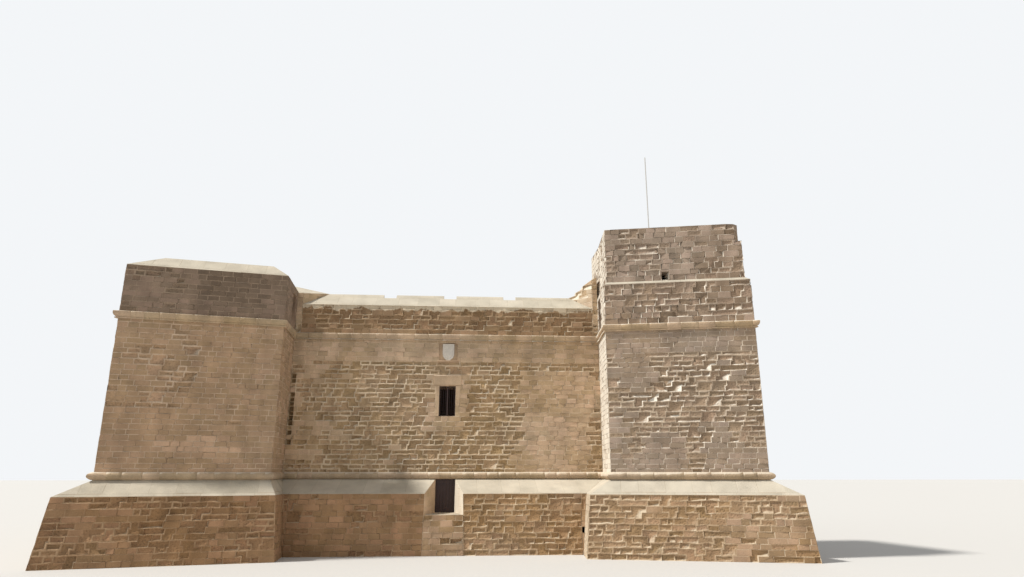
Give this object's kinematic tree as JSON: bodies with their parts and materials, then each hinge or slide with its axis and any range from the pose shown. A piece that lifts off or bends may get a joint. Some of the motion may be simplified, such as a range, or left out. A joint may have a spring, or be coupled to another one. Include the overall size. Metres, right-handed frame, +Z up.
{
  "type": "bastioned coastal fort",
  "caption": "Square stone fort with battered base, ledge, mouldings, arrow-shaped corner bastions, sloped parapets, a raised corner turret with a mast, barred windows and a hinged plank door.",
  "frame": {"origin": "on the ground under the middle of the fort", "axes": "+Z up, front wall with the door faces -Y, +X to the right seen from the front"},
  "size_m": [32.7596, 32.7596, 20.9],
  "materials": {
    "wall_stone": "matte",
    "parapet_stone": "matte",
    "scarp_stone": "matte",
    "dressed_stone": "matte",
    "floor_stone": "matte",
    "marble": "satin",
    "door_wood": "matte",
    "wrought_iron": "matte",
    "frame_iron": "matte",
    "mast_metal": "satin"
  },
  "bodies": {
    "fort": {"bastion_base_mouldings": "dressed_stone", "bastion_cordons": "dressed_stone", "corner_blocks": "parapet_stone", "curtain_base_mouldings": "dressed_stone", "curtain_cordons": "dressed_stone", "door_pintles": "wrought_iron", "doorway_sill": "scarp_stone", "escutcheon": "marble", "escutcheon_bracket": "dressed_stone", "front_left_bastion": "wall_stone", "front_left_bastion_parapet": "parapet_stone", "front_left_bastion_scarp": "scarp_stone", "front_parapet": "parapet_stone", "front_right_bastion": "wall_stone", "front_right_bastion_scarp": "scarp_stone", "front_scarp_left": "scarp_stone", "front_scarp_right": "scarp_stone", "front_wall": "wall_stone", "ground_floor": "floor_stone", "left_parapet": "parapet_stone", "left_scarp": "scarp_stone", "left_wall": "wall_stone", "mast": "mast_metal", "merlons": "parapet_stone", "rear_left_bastion": "wall_stone", "rear_left_bastion_parapet": "parapet_stone", "rear_left_bastion_scarp": "scarp_stone", "rear_parapet": "parapet_stone", "rear_right_bastion": "wall_stone", "rear_right_bastion_parapet": "parapet_stone", "rear_right_bastion_scarp": "scarp_stone", "rear_scarp": "scarp_stone", "rear_wall": "wall_stone", "right_parapet": "parapet_stone", "right_scarp": "scarp_stone", "right_wall": "wall_stone", "roof_terrace": "floor_stone", "turret_lower_walls": "parapet_stone", "turret_slabs": "parapet_stone", "turret_upper_walls": "parapet_stone", "upper_floor": "floor_stone", "window_frames": "frame_iron", "window_lintels": "dressed_stone"},
    "door": {"door_leaf": "door_wood", "door_straps": "wrought_iron"}
  },
  "joints": [
    {"name": "door_hinge", "type": "hinge", "parent": "fort", "child": "door", "pos_m": [-0.5996, -10.1896, 1.82], "axis": [0, 0, 1], "range_deg": [0, 90]}
  ]
}
